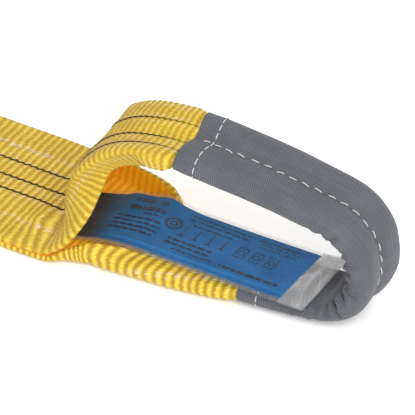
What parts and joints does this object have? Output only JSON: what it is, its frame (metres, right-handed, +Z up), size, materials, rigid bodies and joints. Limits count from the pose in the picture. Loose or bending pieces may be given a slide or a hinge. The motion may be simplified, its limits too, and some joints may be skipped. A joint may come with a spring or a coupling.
{
  "type": "two-ply flat webbing sling",
  "caption": "Flat two-ply webbing lifting sling with a ribbed strap body and folded, sleeved lifting eyes; a card label in a clear pocket lies in one eye.",
  "frame": {"origin": "middle of the sewn body, on its underside, centred on the webbing width", "axes": "+X along the sling towards the labelled eye, +Z up off the face the sling lies on, -Y towards the near selvage"},
  "size_m": [0.9222, 0.09, 0.0813],
  "materials": {
    "webbing": "coarse ribbed polyester webbing",
    "tracer": "black warp yarns",
    "thread": "white polyester sewing thread",
    "thread_yellow": "yellow polyester sewing thread",
    "sleeve": "fine woven grey sleeve",
    "card": "printed blue card",
    "film": "clear film pocket"
  },
  "bodies": {
    "half_a": {"upper_ply_half_a": "webbing", "lower_ply_half_a": "webbing", "tracers_half_a": "tracer", "near_seam_half_a": "thread", "far_seam_half_a": "thread", "block_stitch_a": "thread_yellow"},
    "half_b": {"upper_ply_half_b": "webbing", "lower_ply_half_b": "webbing", "tracers_half_b": "tracer", "near_seam_half_b": "thread", "far_seam_half_b": "thread", "block_stitch_b": "thread_yellow"},
    "end_a": {"webbing_end_a": "webbing", "tracers_end_a": "tracer", "near_seam_end_a": "thread", "far_seam_end_a": "thread", "sleeve_a": "sleeve", "sleeve_seam_a": "thread", "upper_hem_a": "thread", "lower_hem_a": "thread", "label_tab": "film", "label_stitch": "thread"},
    "end_b": {"webbing_end_b": "webbing", "tracers_end_b": "tracer", "near_seam_end_b": "thread", "far_seam_end_b": "thread", "sleeve_b": "sleeve", "sleeve_seam_b": "thread", "upper_hem_b": "thread", "lower_hem_b": "thread"},
    "label": {"label_card": "card", "label_film": "film"}
  },
  "joints": [
    {"name": "middle_bend", "type": "hinge", "parent": "half_a", "child": "half_b", "pos_m": [0, 0, 0.003], "axis": [0, 1, 0], "range_deg": [-75, 75]},
    {"name": "end_a_bend", "type": "hinge", "parent": "half_a", "child": "end_a", "pos_m": [0.184, 0, 0.003], "axis": [0, -1, 0], "range_deg": [-60, 60]},
    {"name": "end_b_bend", "type": "hinge", "parent": "half_b", "child": "end_b", "pos_m": [-0.184, 0, 0.003], "axis": [0, 1, 0], "range_deg": [-60, 60]},
    {"name": "label_flap", "type": "hinge", "parent": "end_a", "child": "label", "pos_m": [0.282, 0, 0.0142], "axis": [0, -1, 0], "range_deg": [0, 15]}
  ]
}
